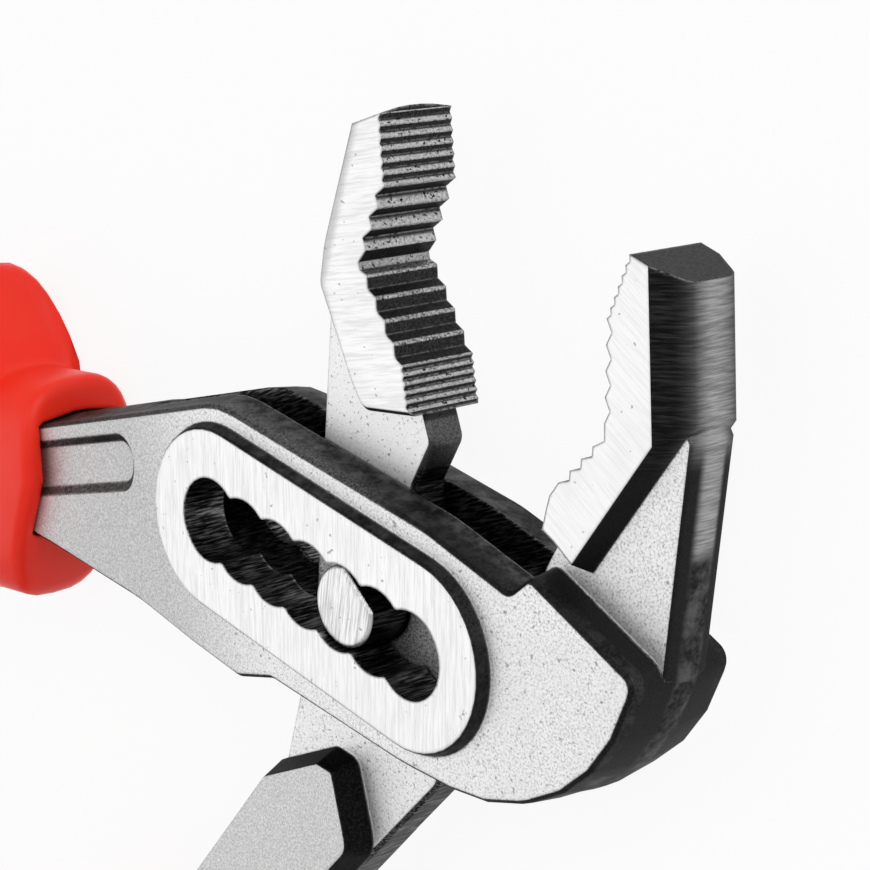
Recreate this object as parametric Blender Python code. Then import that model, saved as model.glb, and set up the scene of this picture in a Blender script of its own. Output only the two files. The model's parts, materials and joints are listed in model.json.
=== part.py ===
# Box-joint pipe pliers: two forged levers, one D-section pivot pin and two sleeve grips.
# Metres, +Z up. The tool lies on its side: X runs along it, Z through its thickness.
# Shapes are drawn round the pivot in its seat, with Z = 0 on the forging's parting plane.

import math

import bmesh
import bpy
import numpy as np
from mathutils import Vector

# Pivot pin and the row of seats it drops into
PIN_RADIUS = 0.0040
PIN_FLAT = 0.0029
PIN_RECESS = 0.0006
PIN_CHAMFER = 0.0003
PIN_TURN = math.radians(26.6)
FIT_GAP = 0.0003
PASSAGE_GAP = 0.00015
SLOT_PITCH = 0.0050
SLOT_SEATS = 7
SEATS_BEHIND = 4
SLOT_ANGLE = math.radians(-34.0)

# Thicknesses, each measured from the parting plane
TANG_HALF = 0.0021
JAW_HALF = 0.00435
WEB_HALF = 0.0027
HANDLE_FACE = 0.0050
CORE_HALF = 0.0042
CHEEK_THICKNESS = 0.0038
PAD_RAISE = 0.0012
WINDOW_HALF = TANG_HALF + FIT_GAP
CHEEK_FACE = WINDOW_HALF + CHEEK_THICKNESS
PAD_FACE = CHEEK_FACE + PAD_RAISE
PIN_HALF = PAD_FACE - PIN_RECESS
SEAT_RADIUS = PIN_RADIUS + FIT_GAP
PASSAGE_HALF = (PIN_RADIUS + PIN_FLAT) / 2 + PASSAGE_GAP

# Forged and ground edges
FORGE_DRAFT = 0.0006
SHANK_DRAFT = 0.0011
EDGE_ROUND = 0.0004
EDGE_CROWN = 0.0008
WEB_CROWN = 0.0003
JAW_BEVEL_DEPTH = 0.0013
JAW_BACK_HALF = 0.0018
JAW_BEVEL_ANGLE = math.radians(26.6)
JAW_BEVEL_ON_WEB = 0.45
JAW_END_CROWN = 0.0005
JAW_END_START = 0.0418
PAD_RADIUS = 0.0091
PAD_DRAFT = 0.0006
HUB_WALL = 0.0058
PANEL_DEPTH = 0.0007
PANEL_WALL = 0.0011
HUB_RADIUS = PIN_RADIUS + HUB_WALL

# Teeth
FINE_DEPTH = 0.00030
COARSE_DEPTH = 0.00060
UPPER_COARSE_DEPTH = 0.00083

# Handles and grips
TAPER_START = -0.027
TAPER_LENGTH = 0.023
CORE_HALF_WIDTH = 0.0049
CORE_TIP_HALF_WIDTH = 0.0036
GRIP_HALF = PAD_FACE
GRIP_HALF_WIDTH = 0.0095
GRIP_SWELL = 0.0012
COLLAR_HALF_WIDTH = 0.0108
COLLAR_DROP = 0.0151
COLLAR_LENGTH = 0.0095
GUARD_RISE = 0.0115
GUARD_LENGTH = 0.0060
GUARD_LEAN = 0.36
COLLAR_LEAN = 0.45
LEAN_LENGTH = 0.030
GRIP_TIP = 0.0050
COLLAR_LIP = 0.0013
GUARD_LIP = 0.0010
RING_SPACING = 0.0070

# Handle centre lines: where each leaves the head, its heading there, its bend and its length
SLOTTED_HANDLE_START = (-0.0440, 0.0190)
SLOTTED_HANDLE_HEADING = math.radians(160.0)
SLOTTED_HANDLE_BEND = math.radians(23.5)
SLOTTED_HANDLE_LENGTH = 0.150
THROUGH_HANDLE_START = (-0.0380, -0.0302)
THROUGH_HANDLE_HEADING = math.radians(206.0)
THROUGH_HANDLE_BEND = math.radians(-4.8)
THROUGH_HANDLE_LENGTH = 0.146
SLOTTED_GRIP_FRONT = 0.0042
THROUGH_GRIP_FRONT = 0.0140
GRIP_PAST_CORE = 0.0060

# Mesh fineness
ARC_STEP = math.radians(12.0)
SHARP_ANGLE = math.radians(20.0)
GRIP_SHARP_ANGLE = math.radians(40.0)
BEVEL_STEPS = 4
FLAT_ANGLE = math.radians(0.1)
STRAIGHT_TURN = 0.02
WELD = 0.000002
SECTION_POINTS = 36


def clear_scene():
    for item in list(bpy.data.objects):
        bpy.data.objects.remove(item, do_unlink=True)


def make_material(name, colour, metallic, roughness):
    material = bpy.data.materials.new(name)
    material.use_nodes = True
    shader = material.node_tree.nodes["Principled BSDF"]
    shader.inputs["Base Color"].default_value = (*colour, 1.0)
    shader.inputs["Metallic"].default_value = metallic
    shader.inputs["Roughness"].default_value = roughness
    return material


def arc(centre, radius, start, end, count):
    """Points on a circle, both ends included."""
    return [
        (centre[0] + radius * math.cos(a), centre[1] + radius * math.sin(a))
        for a in np.linspace(start, end, count + 1)
    ]


def rounded(corners):
    """Outline through (x, y, radius) corners, each corner turned into an arc."""
    outline = []
    for i, (x, y, radius) in enumerate(corners):
        here = Vector((x, y))
        to_last = (Vector(corners[i - 1][:2]) - here).normalized()
        to_next = (Vector(corners[(i + 1) % len(corners)][:2]) - here).normalized()
        half = to_last.angle(to_next) / 2
        if radius == 0 or half > math.radians(89):
            outline.append((x, y))
            continue
        centre = here + (to_last + to_next).normalized() * (radius / math.sin(half))
        first = here + to_last * (radius / math.tan(half)) - centre
        turn = first.angle_signed(here + to_next * (radius / math.tan(half)) - centre)
        start = math.atan2(first.y, first.x)
        count = max(2, round(abs(turn) / ARC_STEP))
        outline += arc(centre, radius, start, start - turn, count)
    return outline


def moved_in(outline, distance, shares=None):
    """The outline with each edge moved inwards by its share of the distance."""
    result = []
    for i, point in enumerate(outline):
        here = Vector(point)
        before = (here - Vector(outline[i - 1])).normalized()
        after = (Vector(outline[(i + 1) % len(outline)]) - here).normalized()
        first = distance if shares is None else distance * shares[i - 1]
        second = distance if shares is None else distance * shares[i]
        turn = before.cross(after)
        if abs(turn) < STRAIGHT_TURN:
            left = Vector((-before.y - after.y, before.x + after.x)).normalized()
            step = left * ((first + second) / 2)
        else:
            step = (after * first - before * second) / turn
        result.append((here.x + step.x, here.y + step.y))
    return result


def add_rings(mesh, rings):
    """Close a stack of equal point rings into one body."""
    verts = [[mesh.verts.new(point) for point in ring] for ring in rings]
    count = len(rings[0])
    for low, high in zip(verts, verts[1:]):
        for i in range(count):
            j = (i + 1) % count
            mesh.faces.new((low[i], low[j], high[j], high[i]))
    mesh.faces.new(list(reversed(verts[0])))
    mesh.faces.new(verts[-1])


def new_object(name, mesh):
    bmesh.ops.recalc_face_normals(mesh, faces=mesh.faces)
    data = bpy.data.meshes.new(name)
    mesh.to_mesh(data)
    mesh.free()
    item = bpy.data.objects.new(name, data)
    bpy.context.collection.objects.link(item)
    return item


def stacked(name, outline, levels, shares=None):
    """Body built from (height, inset) levels of one outline."""
    rings = []
    for z, inset in levels:
        rings.append([(x, y, z) for x, y in moved_in(outline, inset, shares)])
    mesh = bmesh.new()
    add_rings(mesh, rings)
    return new_object(name, mesh)


def forged_plate(name, outline, levels, shares=None):
    """Plate with the same levels above and below the parting plane."""
    below = [(-z, inset) for z, inset in reversed(levels)]
    return stacked(name, outline, below + levels, shares)


def boolean(target, tool, operation):
    """Join or cut with a helper body that stays hidden."""
    tool.hide_render = True
    tool.display_type = "WIRE"
    tool.parent = target
    modifier = target.modifiers.new(tool.name, "BOOLEAN")
    modifier.operation = operation
    modifier.solver = "EXACT"
    modifier.object = tool


def settle(item, join_flats=True, sharp=SHARP_ANGLE):
    """Turn the joined and cut body into one plain mesh and drop its helper bodies."""
    bpy.context.view_layer.update()
    graph = bpy.context.evaluated_depsgraph_get()
    data = bpy.data.meshes.new_from_object(item.evaluated_get(graph))
    data.name = item.name
    item.modifiers.clear()
    item.data = data
    for helper in list(item.children):
        bpy.data.objects.remove(helper, do_unlink=True)
    mesh = bmesh.new()
    mesh.from_mesh(data)
    bmesh.ops.remove_doubles(mesh, verts=mesh.verts, dist=WELD)
    bmesh.ops.dissolve_degenerate(mesh, edges=mesh.edges, dist=WELD)
    if join_flats:
        bmesh.ops.dissolve_limit(mesh, angle_limit=FLAT_ANGLE, verts=mesh.verts, edges=mesh.edges)
    bmesh.ops.triangulate(mesh, faces=mesh.faces)
    mesh.to_mesh(data)
    mesh.free()
    data.shade_smooth()
    data.set_sharp_from_angle(angle=sharp)
    return item


def along_slot(distance, across=0.0):
    """Place in the plier plane from a distance along the slot and across it."""
    cosine = math.cos(SLOT_ANGLE)
    sine = math.sin(SLOT_ANGLE)
    return (distance * cosine - across * sine, distance * sine + across * cosine)


def slot_outline():
    """Seats for the pin in a row, opened out to the passage between them."""
    radius = SEAT_RADIUS
    dip = math.asin(PASSAGE_HALF / SEAT_RADIUS)
    seats = [(i - SEATS_BEHIND) * SLOT_PITCH for i in range(SLOT_SEATS)]
    points = []
    for x in seats:
        points += arc((x, 0), radius, math.pi + dip, 2 * math.pi - dip, 7)
    points += arc((seats[-1], 0), radius, -dip, dip, 8)[1:-1]
    for x in reversed(seats):
        points += arc((x, 0), radius, dip, math.pi - dip, 7)
    points += arc((seats[0], 0), radius, math.pi - dip, math.pi + dip, 8)[1:-1]
    return [along_slot(*point) for point in points]


def pad_outline():
    """Round-ended land round the slot."""
    first = -SEATS_BEHIND * SLOT_PITCH
    last = first + (SLOT_SEATS - 1) * SLOT_PITCH
    points = arc((last, 0), PAD_RADIUS, -math.pi / 2, math.pi / 2, 20)
    points += arc((first, 0), PAD_RADIUS, math.pi / 2, 3 * math.pi / 2, 20)
    return [along_slot(*point) for point in points]


def teeth(start, end, count, depth, lean):
    """Tips and roots of a row of teeth; lean places each root between its two tips."""
    a = Vector(start)
    step = (Vector(end) - a) / count
    inward = Vector((-step.y, step.x)).normalized() * depth
    points = []
    for i in range(count):
        root = a + step * (i + lean) + inward
        points += [tuple(a + step * i), tuple(root)]
    return points + [tuple(end)]


def section(rise, drop, thick, power):
    """Round-cornered section as (across, height, set back), with its own rise and drop."""
    points = []
    for a in np.linspace(0, 2 * math.pi, SECTION_POINTS, endpoint=False):
        c = math.cos(a)
        s = math.sin(a)
        across = math.copysign(abs(c) ** (2 / power), c)
        height = math.copysign(abs(s) ** (2 / power), s)
        points.append((across * (rise if across > 0 else drop), height * thick, 0.0))
    return points


def sweep(name, path, sections):
    """Body swept along (x, y) points with one section each."""
    rings = []
    for i, point in enumerate(path):
        ahead = Vector(path[min(i + 1, len(path) - 1)]) - Vector(path[max(i - 1, 0)])
        ahead.normalize()
        side = Vector((ahead.y, -ahead.x))
        ring = []
        for across, height, back in sections[i]:
            place = Vector(point) + side * across + ahead * back
            ring.append((place.x, place.y, height))
        rings.append(ring)
    mesh = bmesh.new()
    add_rings(mesh, rings)
    bmesh.ops.triangulate(mesh, faces=mesh.faces)
    return new_object(name, mesh)


def thin_towards_grip(item):
    """Bring the handle's two faces together from the head to the grip."""
    mesh = bmesh.new()
    mesh.from_mesh(item.data)
    for x in (TAPER_START, TAPER_START - TAPER_LENGTH):
        everything = list(mesh.verts) + list(mesh.edges) + list(mesh.faces)
        bmesh.ops.bisect_plane(mesh, geom=everything, plane_co=(x, 0, 0), plane_no=(1, 0, 0))
    for vert in mesh.verts:
        share = min(1.0, max(0.0, (TAPER_START - vert.co.x) / TAPER_LENGTH))
        vert.co.z *= 1 - share * (1 - HANDLE_FACE / CHEEK_FACE)
    mesh.to_mesh(item.data)
    mesh.free()


# Slotted lever: handle, two cheeks with the window between them, and the fixed jaw

def slotted_plate(name, grow=0.0):
    outline = rounded([
        (-0.0660, 0.0226, 0.0),
        (-0.0346, 0.0057, 0.030),
        (-0.0200, -0.0042, 0.0020),
        (-0.0146, -0.0050, 0.0020),
        (0.0020, -0.0150, 0.030),
        (0.0124, -0.0201, 0.020),
        (0.0276, -0.0201, 0.0195),
        (0.0344, -0.0116, 0.0011),
        (0.0254, -0.0015, 0.0006),
        (0.0223, -0.0025, 0.0016),
        (0.0135, 0.0048, 0.015),
        (-0.0126, 0.0218, 0.010),
        (-0.0660, 0.0282, 0.0),
    ])
    plate = forged_plate(name, outline, [
        (EDGE_CROWN, -FORGE_DRAFT - EDGE_ROUND - grow),
        (CHEEK_FACE - EDGE_ROUND, -EDGE_ROUND - grow),
        (CHEEK_FACE + grow, -grow),
    ])
    thin_towards_grip(plate)
    return plate


def window_cutter():
    outline = [
        (-0.0460, -0.0300),
        (0.0215, -0.0300),
        (0.0206, -0.0080),
        (0.0239, -0.0009),
        (0.0252, 0.0020),
        (0.0252, 0.0300),
        (-0.0295, 0.0350),
        (-0.0293, 0.0160),
        (-0.0468, 0.0046),
    ]
    return stacked("window_cutter", outline, [(-WINDOW_HALF, 0.0), (WINDOW_HALF, 0.0)])


def fixed_web():
    outline = rounded([
        (0.0240, -0.0009, 0.0),
        (0.0215, -0.0080, 0.0),
        (0.0285, -0.0145, 0.0),
        (0.0347, -0.0120, 0.0),
        (0.0445, 0.0066, 0.0),
        (0.0440, 0.0095, 0.0),
        (0.0340, 0.0055, 0.0),
        (0.0272, 0.0017, 0.0),
    ])
    return forged_plate("fixed_web", outline, [
        (EDGE_CROWN, -WEB_CROWN - EDGE_ROUND),
        (WEB_HALF - EDGE_ROUND / 2, -EDGE_ROUND / 2),
        (WEB_HALF, 0.0),
    ])


def jaw_back_levels():
    """A flat bevel under the jaw's face that rounds into the upright back."""
    start = JAW_HALF - JAW_BEVEL_DEPTH
    reach = JAW_BEVEL_DEPTH / math.tan(JAW_BEVEL_ANGLE)
    radius = (start - JAW_BACK_HALF) / math.cos(JAW_BEVEL_ANGLE)
    levels = [(JAW_HALF, 0.0)]
    for angle in np.linspace(JAW_BEVEL_ANGLE, math.pi / 2, BEVEL_STEPS + 1):
        z = start - radius * (math.cos(JAW_BEVEL_ANGLE) - math.cos(angle))
        out = reach + radius * (math.sin(angle) - math.sin(JAW_BEVEL_ANGLE))
        levels.append((z, -out))
    return levels[::-1]


def fixed_jaw():
    tip = (0.0448, 0.0228)
    shoulder = (0.0405, 0.0184)
    bite = teeth(tip, shoulder, 6, FINE_DEPTH, 0.5)
    bite += teeth(shoulder, (0.0372, 0.0101), 4, COARSE_DEPTH, 0.5)[1:]
    bite += [(0.0367, 0.0087)]
    bite += teeth((0.0352, 0.0085), (0.0301, 0.0063), 3, COARSE_DEPTH, 0.37)
    bite += [(0.0286, 0.0054), (0.0278, 0.0044), (0.0266, 0.0027)]
    corner = (0.0419, 0.0072)
    end = (0.0465, 0.0214)
    bite += [(0.0277, 0.0014)]
    heel = (0.0291, -0.0008)
    shares = [0.0] * len(bite) + [JAW_BEVEL_ON_WEB, 1.0, 0.0]
    return forged_plate("fixed_jaw", bite + [heel, corner, end], jaw_back_levels(), shares)


def land(name, side):
    """Ground pad that stands proud of one cheek."""
    levels = [
        (CHEEK_FACE - CHEEK_THICKNESS / 2, -PAD_DRAFT),
        (CHEEK_FACE, -PAD_DRAFT),
        (PAD_FACE - EDGE_ROUND / 2, -EDGE_ROUND / 2),
        (PAD_FACE, 0.0),
    ]
    return stacked(name, pad_outline(), [(side * z, inset) for z, inset in levels])


def panel_cutter(name, side):
    """Shallow round-ended recess in one face of the handle."""
    outline = rounded([
        (-0.0700, 0.0215, 0.0),
        (-0.0305, 0.0163, 0.0028),
        (-0.0272, 0.0222, 0.0028),
        (-0.0700, 0.0277, 0.0),
    ])
    levels = [
        (CHEEK_FACE - PANEL_DEPTH, PANEL_WALL),
        (CHEEK_FACE, 0.0),
        (2 * CHEEK_FACE, 0.0),
    ]
    cutter = stacked(name, outline, [(side * z, inset) for z, inset in levels])
    thin_towards_grip(cutter)
    return cutter


def slotted_lever():
    lever = slotted_plate("slotted_lever")
    boolean(lever, window_cutter(), "DIFFERENCE")
    boolean(lever, handle_core("slotted_core", slotted_handle()), "UNION")
    boolean(lever, fixed_web(), "UNION")
    boolean(lever, fixed_jaw(), "UNION")
    for side, word in ((1, "upper"), (-1, "under")):
        boolean(lever, land(word + "_land", side), "UNION")
        boolean(lever, panel_cutter(word + "_panel_cutter", side), "DIFFERENCE")
    reach = 2 * PAD_FACE
    slot = stacked("slot_cutter", slot_outline(), [(-reach, 0.0), (reach, 0.0)])
    boolean(lever, slot, "DIFFERENCE")
    return settle(lever)


# Through lever: moving jaw, thin tang through the window, and handle

def tang():
    hub = arc((0.0, 0.0), HUB_RADIUS, math.radians(-48), math.radians(38), 8)
    below = rounded([
        (0.0072, 0.0300, 0.0),
        (0.0036, 0.0290, 0.0020),
        (-0.0106, 0.0000, 0.030),
        (-0.0214, -0.0141, 0.0),
        (-0.0330, -0.0240, 0.0),
        (-0.0130, -0.0254, 0.0),
        (0.0016, -0.0186, 0.0020),
        (*hub[0], 0.0),
    ])
    above = rounded([
        (*hub[-1], 0.0),
        (0.0086, 0.0092, 0.0008),
        (0.0127, 0.0125, 0.0012),
        (0.0128, 0.0170, 0.0),
        (0.0105, 0.0220, 0.0),
    ])
    return forged_plate("through_lever", below[:-1] + hub + above[1:], [
        (TANG_HALF - EDGE_ROUND, 0.0),
        (TANG_HALF, EDGE_ROUND),
    ])


def moving_jaw():
    heel = (0.0132, 0.0158)
    throat = (0.0140, 0.0199)
    shoulder = (0.0176, 0.0358)
    tip = (0.0194, 0.0421)
    bite = teeth(heel, throat, 5, FINE_DEPTH, 0.5)
    bite += teeth(throat, (0.0122, 0.0289), 4, COARSE_DEPTH, 0.5)[1:]
    bite += [(0.0114, 0.0296), (0.0115, 0.0303)]
    bite += teeth((0.0129, 0.03105), shoulder, 3, UPPER_COARSE_DEPTH, 0.375)
    bite += teeth(shoulder, tip, 6, FINE_DEPTH, 0.5)[1:]
    back = rounded([
        (*tip, 0.0),
        (0.0154, 0.0423, 0.0),
        (0.0074, 0.0331, 0.010),
        (0.0054, 0.0298, 0.0015),
        (0.0064, 0.0200, 0.0080),
        (0.0070, 0.0176, 0.0012),
        (*heel, 0.0),
    ])[1:-1]
    shares = [0.0] * len(bite) + [1.0] * len(back)
    jaw = forged_plate("moving_jaw", bite + back, [
        (EDGE_CROWN, -EDGE_ROUND),
        (JAW_HALF / 2, -EDGE_ROUND),
        (JAW_HALF - EDGE_ROUND, -EDGE_ROUND),
        (JAW_HALF, 0.0),
    ], shares)
    for vert in jaw.data.vertices:
        if vert.co.y > JAW_END_START:
            vert.co.y += JAW_END_CROWN * (1 - (vert.co.z / JAW_HALF) ** 2)
    return jaw


def through_shank(name, grow=0.0):
    outline = rounded([
        (-0.0219, -0.0139, 0.0015),
        (-0.0590, -0.0344, 0.0),
        (-0.0550, -0.0453, 0.0),
        (-0.0102, -0.0240, 0.0030),
        (-0.0094, -0.0150, 0.0015),
        (-0.0122, -0.0134, 0.0015),
    ])
    return forged_plate(name, outline, [
        (TANG_HALF, -grow),
        (HANDLE_FACE + grow, SHANK_DRAFT - grow),
    ])


def through_lever():
    lever = tang()
    boolean(lever, moving_jaw(), "UNION")
    boolean(lever, through_shank("through_shank"), "UNION")
    boolean(lever, handle_core("through_core", through_handle()), "UNION")
    circle = arc((0.0, 0.0), SEAT_RADIUS, 0.0, 2 * math.pi, 48)[:-1]
    bore = stacked("bore_cutter", circle, [(-JAW_HALF, 0.0), (JAW_HALF, 0.0)])
    boolean(lever, bore, "DIFFERENCE")
    return settle(lever)


# Pivot pin

def pivot_pin():
    half_angle = math.acos(PIN_FLAT / PIN_RADIUS)
    start = PIN_TURN + half_angle
    outline = arc((0.0, 0.0), PIN_RADIUS, start, start + 2 * (math.pi - half_angle), 36)
    pin = forged_plate("pivot_pin", outline, [
        (PIN_HALF - PIN_CHAMFER, 0.0),
        (PIN_HALF, PIN_CHAMFER),
    ])
    return settle(pin)


# Handle cores and grips, swept along each handle's centre line from head to tip

def slotted_handle():
    return (SLOTTED_HANDLE_START, SLOTTED_HANDLE_HEADING, SLOTTED_HANDLE_BEND, SLOTTED_HANDLE_LENGTH)


def through_handle():
    return (THROUGH_HANDLE_START, THROUGH_HANDLE_HEADING, THROUGH_HANDLE_BEND, THROUGH_HANDLE_LENGTH)


def line_points(handle, distances):
    """Places on a handle's centre line, which bends most near the head and runs on past its end."""
    start, heading, bend, length = handle
    run = np.linspace(0.0, 1.2 * length, 240)
    angle = heading + bend * np.sin(np.minimum(run / length, 1.0) * math.pi / 2)
    middle = (angle[1:] + angle[:-1]) / 2
    x = start[0] + np.append(0.0, np.cumsum(np.cos(middle) * np.diff(run)))
    y = start[1] + np.append(0.0, np.cumsum(np.sin(middle) * np.diff(run)))
    return [(float(np.interp(d, run, x)), float(np.interp(d, run, y))) for d in distances]


def handle_core(name, handle, grow=0.0):
    """Steel inside the grip, tapering to its end."""
    length = handle[-1]
    distances = np.linspace(0.0, length + grow, 16)
    sections = []
    for distance in distances:
        share = distance / length
        width = CORE_HALF_WIDTH + share * (CORE_TIP_HALF_WIDTH - CORE_HALF_WIDTH) + grow
        sections.append(section(width, width, CORE_HALF + grow, 5.0))
    return sweep(name, line_points(handle, distances), sections)


def lip_rows(start, lip, rise, drop, thick):
    """Rows that round off an end of the sleeve which begins at a distance."""
    rows = []
    for angle in np.radians((0.0, 30.0, 60.0, 90.0)):
        short = lip * (1 - math.sin(angle))
        distance = start + lip * (1 - math.cos(angle))
        rows.append((distance, rise - short, drop - short, thick - short))
    return rows


def grip_stations(length):
    """Rows of distance, rise on the outer side, drop on the inner side and half thickness."""
    collar = COLLAR_HALF_WIDTH
    sleeve = GRIP_HALF_WIDTH
    guard = collar + GUARD_RISE
    guard_end = COLLAR_LENGTH + GUARD_LENGTH
    lip = GUARD_LIP
    rows = lip_rows(0.0, COLLAR_LIP, collar, COLLAR_DROP, GRIP_HALF)
    rows += [
        (COLLAR_LENGTH - lip, collar, COLLAR_DROP, GRIP_HALF),
        (COLLAR_LENGTH - 0.3 * lip, collar + 0.3 * lip, COLLAR_DROP, GRIP_HALF),
        (COLLAR_LENGTH, collar + lip, COLLAR_DROP, GRIP_HALF),
        (COLLAR_LENGTH + 0.3 * lip, guard - lip, COLLAR_DROP, GRIP_HALF),
        (COLLAR_LENGTH + 0.6 * lip, guard - 0.4 * lip, COLLAR_DROP, GRIP_HALF),
        (COLLAR_LENGTH + 1.3 * lip, guard, COLLAR_DROP, GRIP_HALF),
        (guard_end - 1.8 * lip, guard - 0.1 * lip, COLLAR_DROP, GRIP_HALF),
        (guard_end - 0.9 * lip, guard - 0.6 * lip, COLLAR_DROP, GRIP_HALF),
        (guard_end - 0.4 * lip, guard - 1.6 * lip, COLLAR_DROP - 0.3 * lip, GRIP_HALF),
        (guard_end + lip, collar + lip, collar + lip, GRIP_HALF),
        (guard_end + 2.2 * lip, sleeve + 0.5 * lip, sleeve + 0.5 * lip, GRIP_HALF),
        (guard_end + 4 * lip, sleeve, sleeve, GRIP_HALF),
    ]
    start = rows[-1][0]
    straight = length - GRIP_TIP - start
    count = round(straight / RING_SPACING)
    for i in range(1, count + 1):
        width = sleeve + GRIP_SWELL * math.sin(math.pi * i / count)
        rows.append((start + straight * i / count, width, width, GRIP_HALF))
    for angle in np.radians((25.0, 48.0, 68.0, 82.0)):
        width = sleeve * math.cos(angle)
        rows.append((length - GRIP_TIP + GRIP_TIP * math.sin(angle), width, width,
                     GRIP_HALF * math.cos(angle)))
    return rows


def leaned(points, distance):
    """Set the collar's inner side and the top of the guard back from the head."""
    fade = max(0.0, 1 - distance / LEAN_LENGTH)
    result = []
    for across, height, _ in points:
        inner = max(0.0, -across) * COLLAR_LEAN * fade
        outer = max(0.0, across - COLLAR_HALF_WIDTH) * GUARD_LEAN
        result.append((across, height, inner + outer))
    return result


def grip(name, handle, front, outer_side):
    rows = grip_stations(handle[-1] + GRIP_PAST_CORE - front)
    path = line_points(handle, [front + row[0] for row in rows])
    sections = []
    for distance, rise, drop, thick in rows:
        points = leaned(section(rise, drop, thick, 3.0), distance)
        sections.append([(across * outer_side, height, back) for across, height, back in points])
    return sweep(name, path, sections)


def slotted_grip():
    item = grip("slotted_lever_grip", slotted_handle(), SLOTTED_GRIP_FRONT, 1)
    boolean(item, handle_core("slotted_grip_bore", slotted_handle(), FIT_GAP), "DIFFERENCE")
    boolean(item, slotted_plate("slotted_grip_mouth", FIT_GAP), "DIFFERENCE")
    return settle(item, join_flats=False, sharp=GRIP_SHARP_ANGLE)


def through_grip():
    item = grip("through_lever_grip", through_handle(), THROUGH_GRIP_FRONT, -1)
    boolean(item, handle_core("through_grip_bore", through_handle(), FIT_GAP), "DIFFERENCE")
    boolean(item, through_shank("through_grip_mouth", FIT_GAP), "DIFFERENCE")
    return settle(item, join_flats=False, sharp=GRIP_SHARP_ANGLE)


# Assembly

def add_empty(name, parent=None):
    empty = bpy.data.objects.new(name, None)
    bpy.context.collection.objects.link(empty)
    empty.parent = parent
    return empty


def rest_on_floor(root, pieces):
    """Set the middle of the footprint over the world origin and the underside on Z = 0."""
    bpy.context.view_layer.update()
    graph = bpy.context.evaluated_depsgraph_get()
    corners = []
    for item in pieces:
        corners += [item.matrix_world @ Vector(c) for c in item.evaluated_get(graph).bound_box]
    low = Vector([min(c[i] for c in corners) for i in range(3)])
    high = Vector([max(c[i] for c in corners) for i in range(3)])
    middle = (low + high) / 2
    root.location = (-middle.x, -middle.y, -low.z)


def main():
    clear_scene()
    root = add_empty("pipe_pliers")
    pivot = add_empty("pivot_axis", root)
    steel = (0.42, 0.42, 0.43)
    red = (0.75, 0.05, 0.03)
    pieces = [
        (slotted_lever(), root, make_material("slotted_lever_steel", steel, 1.0, 0.45)),
        (slotted_grip(), root, make_material("slotted_grip_plastic", red, 0.0, 0.40)),
        (pivot_pin(), pivot, make_material("pivot_pin_steel", steel, 1.0, 0.35)),
        (through_lever(), pivot, make_material("through_lever_steel", steel, 1.0, 0.45)),
        (through_grip(), pivot, make_material("through_grip_plastic", red, 0.0, 0.40)),
    ]
    for item, parent, material in pieces:
        item.parent = parent
        item.data.materials.append(material)
    rest_on_floor(root, [piece[0] for piece in pieces])


main()
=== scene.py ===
import json
import math

import bpy
from mathutils import Matrix, Vector

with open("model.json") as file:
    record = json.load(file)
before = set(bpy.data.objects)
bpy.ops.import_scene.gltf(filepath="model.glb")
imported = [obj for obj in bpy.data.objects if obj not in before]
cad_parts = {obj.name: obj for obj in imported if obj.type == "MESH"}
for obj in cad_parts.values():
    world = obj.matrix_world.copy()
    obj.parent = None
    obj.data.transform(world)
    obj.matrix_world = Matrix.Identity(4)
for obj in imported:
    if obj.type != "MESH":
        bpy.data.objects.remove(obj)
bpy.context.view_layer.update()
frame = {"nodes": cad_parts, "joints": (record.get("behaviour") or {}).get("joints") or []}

# Sizes of the solids that the finishes follow, in metres from the pivot and the parting plane
MM = 0.001
PIVOT = Vector(next(j for j in frame["joints"] if j["name"] == "handle_pivot")["pos_m"])
SLOT_ANGLE = math.radians(-34.0)
SLOT_BACK = -20 * MM
SLOT_FRONT = 10 * MM
SEAT_RADIUS = 4.3 * MM
TANG_FACE = 2.1 * MM
WEB_FACE = 2.7 * MM
JAW_FACE = 4.35 * MM
CHEEK_FACE = 6.2 * MM
PAD_FACE = 7.4 * MM
FIXED_JAW_START = 25 * MM
MOVING_JAW_START = 14.5 * MM

# Grinding strokes run along these directions in the plier plane
PAD_STROKES = math.radians(69)
FIXED_JAW_STROKES = math.radians(-56)
MOVING_JAW_STROKES = math.radians(-10)
PIN_STROKES = math.radians(60)

# Rows of teeth in millimetres: first tip, last tip, number of teeth, share of the pitch from tip to root
MOVING_ROWS = (
    ((13.2, 15.8), (14.0, 19.9), 5, 0.5),
    ((14.0, 19.9), (12.2, 28.9), 4, 0.5),
    ((12.2, 28.9), (12.9, 31.05), 1, 0.9),
    ((12.9, 31.05), (17.6, 35.8), 3, 0.375),
    ((17.6, 35.8), (19.4, 42.1), 6, 0.5),
)
FIXED_ROWS = (
    ((44.8, 22.8), (40.5, 18.4), 6, 0.5),
    ((40.5, 18.4), (37.2, 10.1), 4, 0.5),
    ((35.2, 8.5), (30.1, 6.3), 3, 0.37),
)

# Tooth flanks that face about this way in the plier plane get a painted bright reflection
MOVING_FLANK = math.radians(12)
FIXED_FLANK = math.radians(135)

# Corner of the moving jaw's back, and the inward direction of the edge above it
BACK_CORNER = Vector((5.4, 29.8, 0.0)) * MM
BACK_INWARD = Vector((0.781, -0.625, 0.0))

# Outward direction of the fixed jaw's back
JAW_BACK = math.radians(-18)

# Smooth shading: edges that turn more than this stay sharp, and points closer than this are one
STEEL_SHARP = math.radians(20)
PLASTIC_SHARP = math.radians(40)
SAME_POINT = 0.001 * MM

# Tint of the steel's reflection at grazing angles
GRAZING_TINT = (0.65, 0.65, 0.65, 1.0)

# Reds of the sleeves
RED = (0.96, 0.026, 0.009, 1.0)
FLOW_RED = (0.98, 0.032, 0.012, 1.0)
RUBBED_RED = (0.98, 0.09, 0.045, 1.0)

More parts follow.
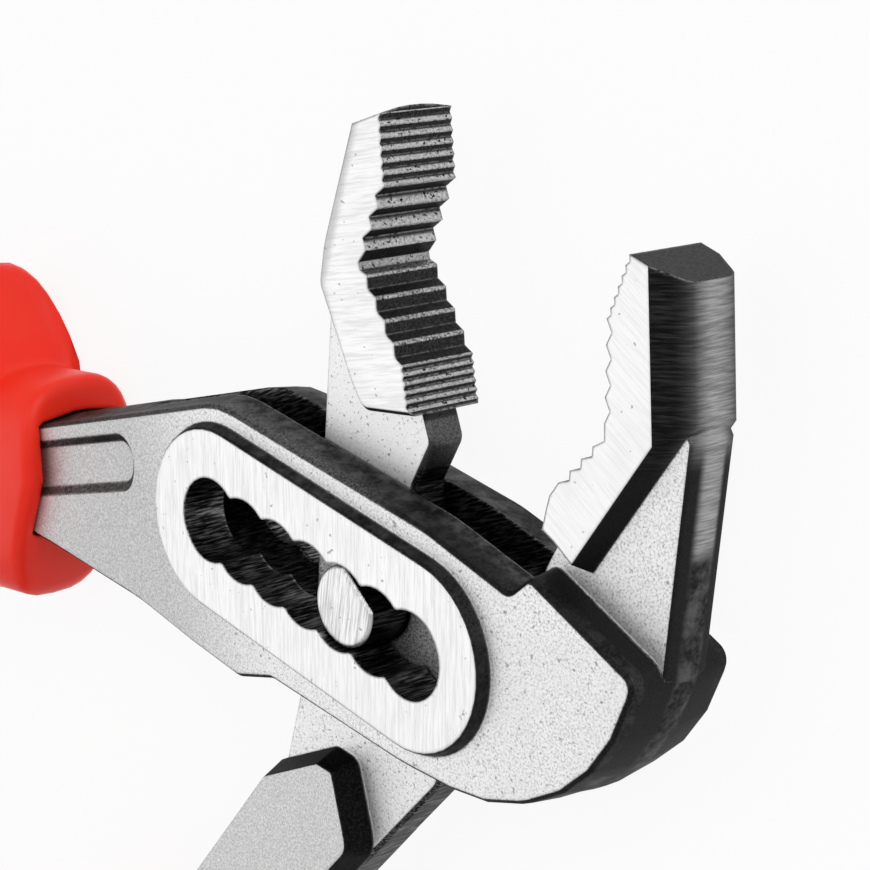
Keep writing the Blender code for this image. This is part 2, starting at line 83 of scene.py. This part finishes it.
# Camera of the photograph
CAMERA_FROM_PIVOT = Vector((0.1855, 0.0054, 0.1510))
CAMERA_RIGHT = Vector((0.6282, -0.2436, -0.7390))
CAMERA_UP = Vector((0.1848, 0.9693, -0.1623))
CAMERA_LENS = 103.45
SENSOR_WIDTH = 36.0
CLIP_START = 10 * MM

# Stage: floor in metres, share of plain white in it, world strength, and each lamp's place, size and power
FLOOR_REACH = 12.0
FLOOR_LEVEL = -0.1 * MM
FLOOR_GREY = (0.94, 0.94, 0.94, 1.0)
FLOOR_WHITE = 0.90
WORLD_STRENGTH = 0.52
LAMPS = {
    "key_left": ((-0.75, 0.10, 0.70), 0.9, 1.78),
    "fill_top": ((0.10, 0.35, 0.90), 0.6, 0.8),
    "fill_right": ((0.75, 0.35, 0.45), 0.7, 2.6),
}


class Finish:
    """One node material, built from places and directions on the piece."""

    def __init__(self, name):
        self.material = bpy.data.materials.new(name)
        self.material.use_nodes = True
        self.tree = self.material.node_tree
        self.shader = self.tree.nodes["Principled BSDF"]
        coords = self.add("ShaderNodeTexCoord")
        self.place = self.vector("SUBTRACT", coords.outputs["Object"], PIVOT)
        self.x, self.y, z = self.parts(self.place)
        self.height = self.math("ABSOLUTE", z)
        self.normal = coords.outputs["Normal"]
        self.facing_x, self.facing_y, upward = self.parts(self.normal)
        self.upright = self.math("ABSOLUTE", upward)
        self.face = self.step(self.upright, 0.91, 0.97)
        self.side = self.opposite(self.face)

    def add(self, kind, **settings):
        node = self.tree.nodes.new(kind)
        for key, value in settings.items():
            setattr(node, key, value)
        return node

    def feed(self, socket, source):
        if isinstance(source, bpy.types.NodeSocket):
            self.tree.links.new(source, socket)
        else:
            socket.default_value = source

    def parts(self, source):
        node = self.add("ShaderNodeSeparateXYZ")
        self.feed(node.inputs[0], source)
        return node.outputs

    def math(self, operation, a, b=0.0):
        node = self.add("ShaderNodeMath", operation=operation)
        self.feed(node.inputs[0], a)
        self.feed(node.inputs[1], b)
        return node.outputs[0]

    def times(self, first, *others):
        for other in others:
            first = self.math("MULTIPLY", first, other)
        return first

    def opposite(self, share):
        return self.math("SUBTRACT", 1.0, share)

    def vector(self, operation, a, b, output=0):
        node = self.add("ShaderNodeVectorMath", operation=operation)
        self.feed(node.inputs[0], a)
        self.feed(node.inputs[1], b)
        return node.outputs[output]

    def step(self, source, low, high, start=0.0, end=1.0):
        """Smooth change from start to end while the source goes from low to high."""
        node = self.add("ShaderNodeMapRange", interpolation_type="SMOOTHSTEP")
        if low > high:
            low, high, start, end = high, low, end, start
        for socket, value in zip(node.inputs, (source, low, high, start, end)):
            self.feed(socket, value)
        return node.outputs[0]

    def between(self, source, low, high, blur):
        """1 while the source is from low to high, with soft ends."""
        return self.times(self.step(source, low - blur, low), self.step(source, high + blur, high))

    def mix(self, share, a, b):
        """Colour or grey level between a and b."""
        node = self.add("ShaderNodeMix", data_type="RGBA")
        self.feed(node.inputs["Factor"], share)
        for socket, source in ((node.inputs[6], a), (node.inputs[7], b)):
            if isinstance(source, float):
                source = (source, source, source, 1.0)
            self.feed(socket, source)
        return node.outputs[2]

    def noise(self, size, detail=2.0, rough=0.5):
        """Noise whose features measure about the given size in metres."""
        return self.stretched_noise(size, (1.0, 1.0, 1.0), 0.0, detail, rough)

    def stretched_noise(self, size, stretch, turn, detail=2.0, rough=0.5):
        mapping = self.add("ShaderNodeMapping", vector_type="TEXTURE")
        self.feed(mapping.inputs["Vector"], self.place)
        mapping.inputs["Rotation"].default_value = (0.0, 0.0, turn)
        mapping.inputs["Scale"].default_value = stretch
        node = self.add("ShaderNodeTexNoise")
        self.feed(node.inputs["Vector"], mapping.outputs[0])
        node.inputs["Scale"].default_value = 1.0 / size
        node.inputs["Detail"].default_value = detail
        node.inputs["Roughness"].default_value = rough
        return node.outputs["Fac"]

    def strokes(self, turn):
        """Fine grinding strokes along a direction in the plier plane."""
        return self.stretched_noise(0.25 * MM, (18.0, 1.0, 1.0), turn, 3.0, 0.7)

    def pits(self, size, low, high):
        return self.step(self.noise(size, 1.0), low, high)

    def soften(self, radius):
        """Normal that rounds every edge, and a share that is 1 on sharp edges and 0 away from them."""
        bevel = self.add("ShaderNodeBevel", samples=8)
        bevel.inputs["Radius"].default_value = radius
        plain = self.add("ShaderNodeNewGeometry").outputs["Normal"]
        agree = self.vector("DOT_PRODUCT", bevel.outputs[0], plain, "Value")
        return bevel.outputs[0], self.step(agree, 0.95, 0.78)

    def bump(self, strength, distance, height, below):
        node = self.add("ShaderNodeBump")
        node.inputs["Distance"].default_value = distance
        self.feed(node.inputs["Strength"], strength)
        self.feed(node.inputs["Height"], height)
        self.feed(node.inputs["Normal"], below)
        return node.outputs[0]

    def slot_distance(self):
        """Distance from the row of seats, in the plier plane."""
        cosine = math.cos(SLOT_ANGLE)
        sine = math.sin(SLOT_ANGLE)
        along = self.math("ADD", self.times(self.x, cosine), self.times(self.y, sine))
        across = self.math("SUBTRACT", self.times(self.y, cosine), self.times(self.x, sine))
        middle = self.math("SUBTRACT", along, (SLOT_BACK + SLOT_FRONT) / 2)
        past = self.math("SUBTRACT", self.math("ABSOLUTE", middle), (SLOT_FRONT - SLOT_BACK) / 2)
        past = self.math("MAXIMUM", past, 0.0)
        squares = self.math("ADD", self.times(past, past), self.times(across, across))
        return self.math("SQRT", squares)


class Steel(Finish):
    """Forged steel: a grainy skin on the faces and painted shade on the sides, which are coloured dark by the
    way they face, before any machining.
    """

    def __init__(self, name):
        super().__init__(name)
        self.grain = self.noise(0.24 * MM, 4.0, 0.70)
        cloud = self.noise(7.0 * MM, 2.0)
        specks = self.pits(0.55 * MM, 0.66, 0.76)
        side_shade_noise = self.noise(0.6 * MM, 4.0, 0.65)
        mottle = self.noise(2.2 * MM, 3.0, 0.6)
        skin = self.mix(self.step(self.grain, 0.30, 0.58), 0.50, 1.0)
        skin = self.mix(self.step(cloud, 0.35, 0.70, 0.0, 0.3), skin, 0.85)
        skin = self.mix(self.times(specks, 0.6), skin, 0.14)
        # Painted shade: the sides get a dark mottled colour in place of the shade they fall in
        edge = self.mix(self.step(side_shade_noise, 0.35, 0.75), 0.018, 0.075)
        edge = self.mix(self.step(mottle, 0.42, 0.70, 0.0, 0.5), edge, 0.20)
        # Painted shade: bevel strips between face and side are painted darker still
        painted_corner_shade = self.between(self.upright, 0.45, 0.85, 0.15)
        edge = self.mix(self.times(painted_corner_shade, 0.7), edge, 0.010)
        self.rounded, self.edge = self.soften(0.50 * MM)
        # Painted shade: the colour turns from the skin to the dark side colour as the rounded normal turns
        # from upright
        level = self.math("ABSOLUTE", self.parts(self.rounded)[2])
        level = self.math("ADD", level, self.times(self.math("SUBTRACT", self.grain, 0.5), 0.10))
        self.colour = self.mix(self.step(level, 0.86, 0.97), edge, skin)
        self.roughness = self.mix(self.face, 0.52, self.mix(self.grain, 0.42, 0.58))
        self.smooth = 0.0
        self.stroke_height = self.grain

    def paint(self, zone, colour, roughness=None):
        self.colour = self.mix(zone, self.colour, colour)
        if roughness is not None:
            self.roughness = self.mix(zone, self.roughness, roughness)

    def grind(self, zone, turn, low=0.74):
        """Bright flat with strokes down to the low level, faint clouds and a few open pits."""
        strokes = self.strokes(turn)
        cloud = self.noise(5.0 * MM, 2.0)
        bright = self.mix(self.step(strokes, 0.32, 0.62), low, 0.94)
        bright = self.mix(self.step(cloud, 0.40, 0.75, 0.0, 0.30), bright, 0.78)
        bright = self.mix(self.times(self.pits(0.7 * MM, 0.73, 0.77), 0.6), bright, 0.16)
        # Painted shade: the ground face is painted darker along its sharp edges
        bright = self.mix(self.times(self.edge, 0.5), bright, 0.36)
        self.paint(zone, bright, self.mix(strokes, 0.34, 0.46))
        self.smooth = self.math("MAXIMUM", self.smooth, zone)
        self.stroke_height = self.mix(zone, self.stroke_height, strokes)

    def dull_and_shaded(self, zone, low, high):
        """Rougher skin on the handles than on the head, its colour painted darker as shade."""
        self.paint(zone, self.mix(self.step(self.grain, 0.30, 0.72), low, high), 0.58)

    def paint_recess_shade(self, zone, stretch, high=0.24):
        """Wall painted dark as shade in a recess, with tool lines up to the high level."""
        lines = self.stretched_noise(0.22 * MM, stretch, 0.0, 2.0, 0.6)
        self.paint(zone, self.mix(self.step(lines, 0.40, 0.76), 0.008, high), 0.38)

    def tips(self, rows):
        """1 on the tips of the teeth, 0 in their roots and away from the rows."""
        result = 0.0
        for first, last, count, lean in rows:
            start = Vector((*first, 0.0)) * MM
            pitch = (Vector((*last, 0.0)) * MM - start) / count
            offset = self.vector("SUBTRACT", self.place, start)
            along = self.vector("DOT_PRODUCT", offset, pitch / pitch.length_squared, "Value")
            share = self.math("FRACT", along)
            tip = self.math("MAXIMUM", self.step(share, lean, 0.0), self.step(share, lean, 1.0))
            tip = self.times(tip, self.between(along, 0.0, count, 0.03))
            result = self.math("MAXIMUM", result, tip)
        return result

    def teeth(self, zone, rows, flank):
        """Flanks facing the flank direction get a bright pitted painted reflection that darkens to the root
        as painted shade, the other flanks are painted dark, and each tip gets a bright line that is partly
        wear and partly painted highlight.
        """
        tip = self.tips(rows)
        direction = (math.cos(flank), math.sin(flank), 0.0)
        toward = self.vector("DOT_PRODUCT", self.normal, direction, "Value")
        light = self.mix(self.step(self.grain, 0.30, 0.62), 0.24, 0.66)
        light = self.mix(self.step(tip, 0.50, 0.05), light, 0.04)
        light = self.mix(self.pits(0.36 * MM, 0.60, 0.68), light, 0.02)
        dark = self.mix(self.step(self.grain, 0.35, 0.75), 0.016, 0.065)
        # Painted reflection and shade: flanks are light or dark by the way they face
        colour = self.mix(self.step(toward, 0.905, 0.955), dark, light)
        line = self.times(self.step(tip, 0.86, 0.97), self.step(self.grain, 0.35, 0.60))
        self.paint(zone, self.mix(line, colour, 0.60), 0.48)

    def wear_and_highlight(self, zone, grey):
        """Bright line along the sharp edges of dark sides, broken up by the grain: partly wear, partly a
        painted highlight on the lit edge rounding.
        """
        broken = self.step(self.noise(0.5 * MM, 2.0), 0.34, 0.54)
        self.paint(self.times(self.edge, broken, self.side, zone), grey, 0.40)

    def done(self):
        f = self.shader.inputs
        self.feed(f["Base Color"], self.colour)
        self.feed(f["Roughness"], self.roughness)
        f["Metallic"].default_value = 1.0
        f["Specular Tint"].default_value = GRAZING_TINT
        strength = self.step(self.smooth, 0.0, 1.0, 0.55, 0.16)
        self.feed(f["Normal"], self.bump(strength, 0.05 * MM, self.stroke_height, self.rounded))
        return self.material


def slotted_lever_finish():
    s = Steel("slotted_lever_finish")
    on_jaw = s.step(s.x, FIXED_JAW_START, FIXED_JAW_START + 0.6 * MM)
    jaw_zone = s.times(on_jaw, s.step(s.height, JAW_FACE + 0.5 * MM, JAW_FACE + 0.2 * MM))
    finish_slotted_faces(s, jaw_zone)
    finish_cheek_sides(s)
    finish_fixed_jaw(s, jaw_zone)
    finish_slot(s)
    return s.done()


def finish_slotted_faces(s, jaw_zone):
    """Rough handle painted darker as shade, ground land round the slot and ground faces of the jaw."""
    # Painted shade: the handle faces are painted darker than the head
    s.dull_and_shaded(s.times(s.face, s.step(s.x, -12 * MM, -30 * MM)), 0.50, 0.85)
    pad = s.times(s.face, s.step(s.height, CHEEK_FACE + 0.4 * MM, PAD_FACE - 0.3 * MM))
    s.grind(pad, PAD_STROKES)
    above_web = s.step(s.height, WEB_FACE + 0.2 * MM, WEB_FACE + 0.5 * MM)
    s.grind(s.times(s.face, jaw_zone, above_web), FIXED_JAW_STROKES, 0.82)


def finish_cheek_sides(s):
    """Top sides painted lighter towards the faces as light on a rounded shoulder, and painted shade on the
    nose under the fixed jaw.
    """
    # Painted light: the dark top sides are painted lighter towards the faces
    painted_shoulder_light = s.times(s.side, s.step(s.facing_y, 0.2, 0.5), s.step(s.x, 12 * MM, 4 * MM))
    below_pad = s.step(s.height, CHEEK_FACE + 0.2 * MM, CHEEK_FACE)
    painted_shoulder_light = s.times(painted_shoulder_light, s.step(s.height, 3.4 * MM, 6.0 * MM), below_pad, 0.7)
    s.paint(painted_shoulder_light, s.mix(s.step(s.grain, 0.35, 0.70), 0.05, 0.30))
    # Painted shade: the sides of the nose under the fixed jaw are painted darker
    painted_nose_shade = s.times(s.side, s.step(s.x, 10 * MM, 16 * MM), s.step(s.height, 3.0 * MM, 5.0 * MM))
    s.paint(s.times(painted_nose_shade, 0.7), s.mix(s.step(s.grain, 0.30, 0.70), 0.006, 0.040))


def finish_fixed_jaw(s, jaw_zone):
    """Brushed back between bevels painted black as shade, end and lower rim painted dark as shade, and the
    teeth.
    """
    jaw_side = s.times(s.side, jaw_zone)
    outer = s.step(s.facing_x, 0.10, 0.35)
    brushed = s.step(s.y, -3.5 * MM, -1.5 * MM)
    across = s.stretched_noise(0.20 * MM, (14.0, 1.0, 14.0), JAW_BACK, 3.0, 0.6)
    # Painted shade: the bevels are painted near black, turning lighter towards the middle of the back by
    # height
    flat_back = s.mix(s.step(across, 0.30, 0.72), 0.22, 0.46)
    bevel = s.mix(s.step(across, 0.36, 0.80), 0.010, 0.048)
    painted_bevel_shade = s.step(s.height, 0.2 * MM, 3.6 * MM)
    s.paint(s.times(jaw_side, outer, brushed), s.mix(painted_bevel_shade, flat_back, bevel), 0.42)
    # Painted shade: the end face of the jaw is painted dark
    end = s.times(jaw_side, s.step(s.facing_y, 0.50, 0.70), s.step(s.y, 18 * MM, 19 * MM))
    s.paint(end, s.mix(s.step(s.grain, 0.35, 0.75), 0.045, 0.10), 0.45)
    # Painted shade: the lower rim of the jaw is painted near black
    painted_rim_shade = s.times(jaw_side, s.step(s.height, 0.9 * MM, 1.7 * MM), s.step(s.y, 7.0 * MM, 4.0 * MM))
    s.paint(painted_rim_shade, s.mix(s.grain, 0.010, 0.040), 0.50)
    bite = s.times(jaw_side, s.step(s.facing_x, 0.05, -0.15), s.step(s.y, 1.5 * MM, 2.5 * MM))
    s.teeth(bite, FIXED_ROWS, FIXED_FLANK)


def finish_slot(s):
    """Seats and window walls painted black as shade, and worn edges with a painted highlight."""
    near_slot = s.step(s.slot_distance(), SEAT_RADIUS + 0.9 * MM, SEAT_RADIUS + 0.4 * MM)
    # Painted shade: the seat walls are painted black
    s.paint_recess_shade(s.times(near_slot, s.side), (1.0, 1.0, 10.0), 0.42)
    in_window = s.times(s.face, s.step(s.height, TANG_FACE + 0.5 * MM, TANG_FACE + 0.35 * MM))
    # Painted shade: the far cheek's inner face seen through the window is painted black
    s.paint_recess_shade(in_window, (10.0, 1.0, 1.0))
    # Bright lines on the sharp edges, lighter on the rim round the top of the seats: partly wear, partly
    # painted highlight
    s.wear_and_highlight(s.opposite(near_slot), 0.22)
    s.wear_and_highlight(s.times(near_slot, s.step(s.height, PAD_FACE - 0.4 * MM, PAD_FACE - 0.2 * MM)), 0.45)


def through_lever_finish():
    s = Steel("through_lever_finish")
    finish_tang(s)
    finish_shank(s)
    finish_moving_jaw(s)
    # Painted shade: the sides inside the window are painted black
    in_window = s.times(s.side, s.step(s.y, 11.5 * MM, 9.5 * MM),
                        s.step(s.height, TANG_FACE + 0.1 * MM, TANG_FACE - 0.1 * MM))
    s.paint_recess_shade(in_window, (1.0, 1.0, 10.0))
    # Bright lines on the sharp edges outside the window: partly wear, partly painted highlight
    s.wear_and_highlight(s.opposite(in_window), 0.30)
    return s.done()


def finish_tang(s):
    """Tang painted brighter as light further up, with dark pits, and painted grey as shade round the pin."""
    on_tang = s.times(s.face, s.step(s.height, TANG_FACE + 0.3 * MM, TANG_FACE + 0.1 * MM))
    # Painted light: the tang face is painted brighter further up
    s.paint(s.times(on_tang, s.step(s.y, -4 * MM, 8 * MM, 0.3, 0.75)), 0.98)
    from_pivot = s.vector("LENGTH", s.place, Vector(), "Value")
    # Painted shade: the tang is painted grey round the pin, under the cheeks
    painted_hub_shade = s.times(on_tang, s.step(from_pivot, 12 * MM, 9 * MM), 0.8)
    s.paint(painted_hub_shade, s.mix(s.step(s.grain, 0.35, 0.65), 0.08, 0.60))
    s.paint(s.times(on_tang, s.pits(0.36 * MM, 0.64, 0.73), 0.7), 0.16)


def finish_shank(s):
    """Rough faces painted darker as shade, and bevels painted black as shade, on the lower handle."""
    on_shank = s.times(s.step(s.x, -4 * MM, -6 * MM), s.step(s.height, TANG_FACE, TANG_FACE + 0.2 * MM))
    s.dull_and_shaded(s.times(s.face, on_shank), 0.56, 0.92)
    # Painted shade: the sides of the lower handle are painted near black
    s.paint(s.times(s.side, on_shank), s.mix(s.step(s.grain, 0.40, 0.80), 0.006, 0.030), 0.50)


def finish_moving_jaw(s):
    """Ground faces that turn grey at the back edge, the neck painted dark as shade, and the teeth."""
    on_jaw = s.step(s.y, MOVING_JAW_START, MOVING_JAW_START + 0.4 * MM)
    above_tang = s.step(s.height, TANG_FACE + 0.5 * MM, TANG_FACE + 1.2 * MM)
    ground = s.times(s.face, on_jaw, above_tang)
    s.grind(ground, MOVING_JAW_STROKES)
    upper_back = s.vector("DOT_PRODUCT", s.vector("SUBTRACT", s.place, BACK_CORNER), BACK_INWARD, "Value")
    lower_back = s.math("SUBTRACT", s.x, BACK_CORNER.x)
    inward = s.math("ADD", s.math("MINIMUM", upper_back, lower_back), s.times(s.grain, 0.8 * MM))
    s.paint(s.times(ground, s.step(inward, 1.5 * MM, 0.4 * MM), 0.6), 0.40)
    # Painted shade: the neck's side is painted dark
    neck = s.times(s.side, s.step(s.facing_x, 0.2, 0.5), s.between(s.y, 11 * MM, 16 * MM, 1 * MM))
    s.paint(neck, s.mix(s.step(s.grain, 0.3, 0.7), 0.045, 0.16), 0.45)
    bite = s.times(s.side, on_jaw, s.step(s.facing_x, 0.0, 0.2), s.step(s.facing_y, 0.93, 0.85))
    s.teeth(bite, MOVING_ROWS, MOVING_FLANK)


def pivot_pin_finish():
    s = Steel("pivot_pin_finish")
    # Painted shade: the pin's sides, which sit inside the levers, are painted black
    s.paint_recess_shade(s.side, (1.0, 1.0, 12.0))
    s.grind(s.step(s.upright, 0.30, 0.50), PIN_STROKES, 0.50)
    return s.done()


def red_plastic(name):
    """Moulded red sleeve: semi-gloss with a fine texture, faint flow marks and rubbed edges."""
    f = Finish(name)
    fine = f.noise(0.22 * MM, 2.0)
    flow = f.noise(9.0 * MM, 2.0)
    colour = f.mix(f.step(flow, 0.35, 0.65), RED, FLOW_RED)
    rounded, rubbed = f.soften(0.8 * MM)
    colour = f.mix(f.times(rubbed, 0.4), colour, RUBBED_RED)
    scuffs = f.step(f.stretched_noise(0.35 * MM, (14.0, 1.0, 1.0), math.radians(35)), 0.66, 0.78)
    f.feed(f.shader.inputs["Base Color"], colour)
    f.feed(f.shader.inputs["Roughness"], f.mix(scuffs, f.mix(fine, 0.28, 0.42), 0.55))
    f.feed(f.shader.inputs["Normal"], f.bump(0.25, 0.03 * MM, fine, rounded))
    f.shader.inputs["Specular IOR Level"].default_value = 0.25
    return f.material


def smooth_group(name, angle):
    """Node group that joins the facets and shades them smooth, apart from edges over the angle."""
    group = bpy.data.node_groups.new(name, "GeometryNodeTree")
    for way in ("INPUT", "OUTPUT"):
        group.interface.new_socket("Geometry", in_out=way, socket_type="NodeSocketGeometry")
    merge = group.nodes.new("GeometryNodeMergeByDistance")
    merge.inputs["Distance"].default_value = SAME_POINT
    unset = group.nodes.new("GeometryNodeRemoveAttribute")
    unset.inputs["Name"].default_value = "custom_normal"
    faces = group.nodes.new("GeometryNodeSetShadeSmooth")
    edges = group.nodes.new("GeometryNodeSetShadeSmooth")
    edges.domain = "EDGE"
    sharp = group.nodes.new("GeometryNodeSetShadeSmooth")
    sharp.domain = "EDGE"
    sharp.inputs["Shade Smooth"].default_value = False
    over = group.nodes.new("FunctionNodeCompare")
    over.inputs["B"].default_value = angle
    turn = group.nodes.new("GeometryNodeInputMeshEdgeAngle")
    group.links.new(turn.outputs["Unsigned Angle"], over.inputs["A"])
    group.links.new(over.outputs["Result"], sharp.inputs["Selection"])
    last = group.nodes.new("NodeGroupInput").outputs[0]
    for node in (merge, unset, faces, edges, sharp, group.nodes.new("NodeGroupOutput")):
        group.links.new(last, node.inputs[0])
        if node.outputs:
            last = node.outputs[0]
    return group


def finish_nodes():
    steel = smooth_group("smooth_steel", STEEL_SHARP)
    plastic = smooth_group("smooth_plastic", PLASTIC_SHARP)
    finishes = {
        "slotted_lever": slotted_lever_finish(),
        "through_lever": through_lever_finish(),
        "pivot_pin": pivot_pin_finish(),
        "slotted_lever_grip": red_plastic("slotted_grip_finish"),
        "through_lever_grip": red_plastic("through_grip_finish"),
    }
    for name, material in finishes.items():
        node = frame["nodes"][name]
        node.data.materials.clear()
        node.data.materials.append(material)
        smooth = node.modifiers.new("smooth", "NODES")
        smooth.node_group = plastic if name.endswith("grip") else steel


def add_camera():
    data = bpy.data.cameras.new("camera")
    camera = bpy.data.objects.new("camera", data)
    bpy.context.collection.objects.link(camera)
    data.sensor_width = SENSOR_WIDTH
    data.lens = CAMERA_LENS
    data.clip_start = CLIP_START
    back = CAMERA_RIGHT.cross(CAMERA_UP)
    turn = Matrix((CAMERA_RIGHT, CAMERA_UP, back)).transposed()
    camera.matrix_world = Matrix.Translation(PIVOT + CAMERA_FROM_PIVOT) @ turn.to_4x4()
    bpy.context.scene.camera = camera


def white_to_the_eye(tree, lit, show):
    """Mix of the lit surface and plain white, which only camera, mirror and glass rays see."""
    path = tree.nodes.new("ShaderNodeLightPath")
    seen = path.outputs["Is Camera Ray"]
    for ray in ("Is Glossy Ray", "Is Transmission Ray"):
        either = tree.nodes.new("ShaderNodeMath")
        either.operation = "MAXIMUM"
        tree.links.new(seen, either.inputs[0])
        tree.links.new(path.outputs[ray], either.inputs[1])
        seen = either.outputs[0]
    share = tree.nodes.new("ShaderNodeMath")
    share.operation = "MULTIPLY"
    tree.links.new(seen, share.inputs[0])
    share.inputs[1].default_value = show
    mix = tree.nodes.new("ShaderNodeMixShader")
    white = tree.nodes.new("ShaderNodeEmission")
    tree.links.new(share.outputs[0], mix.inputs[0])
    tree.links.new(lit, mix.inputs[1])
    tree.links.new(white.outputs[0], mix.inputs[2])
    return mix.outputs[0]


def add_floor():
    mesh = bpy.data.meshes.new("floor")
    signs = ((-1, -1), (1, -1), (1, 1), (-1, 1))
    corners = [(x * FLOOR_REACH, y * FLOOR_REACH, FLOOR_LEVEL) for x, y in signs]
    mesh.from_pydata(corners, [], [(0, 1, 2, 3)])
    floor = bpy.data.objects.new("floor", mesh)
    bpy.context.collection.objects.link(floor)
    material = bpy.data.materials.new("floor_white")
    material.use_nodes = True
    tree = material.node_tree
    shader = tree.nodes["Principled BSDF"]
    shader.inputs["Base Color"].default_value = FLOOR_GREY
    shader.inputs["Roughness"].default_value = 0.9
    shown = white_to_the_eye(tree, shader.outputs[0], FLOOR_WHITE)
    tree.links.new(shown, tree.nodes["Material Output"].inputs["Surface"])
    mesh.materials.append(material)


def add_lamp(name, place, size, power):
    data = bpy.data.lights.new(name, "AREA")
    data.size = size
    data.energy = power
    lamp = bpy.data.objects.new(name, data)
    bpy.context.collection.objects.link(lamp)
    lamp.location = place
    lamp.rotation_euler = (PIVOT - Vector(place)).to_track_quat("-Z", "Y").to_euler()


def add_light():
    world = bpy.data.worlds.new("studio")
    bpy.context.scene.world = world
    world.use_nodes = True
    background = world.node_tree.nodes["Background"]
    background.inputs["Color"].default_value = (1.0, 1.0, 1.0, 1.0)
    background.inputs["Strength"].default_value = WORLD_STRENGTH
    for name, (place, size, power) in LAMPS.items():
        add_lamp(name, place, size, power)


bpy.context.scene.view_settings.view_transform = "Standard"
finish_nodes()
add_camera()
add_floor()
add_light()
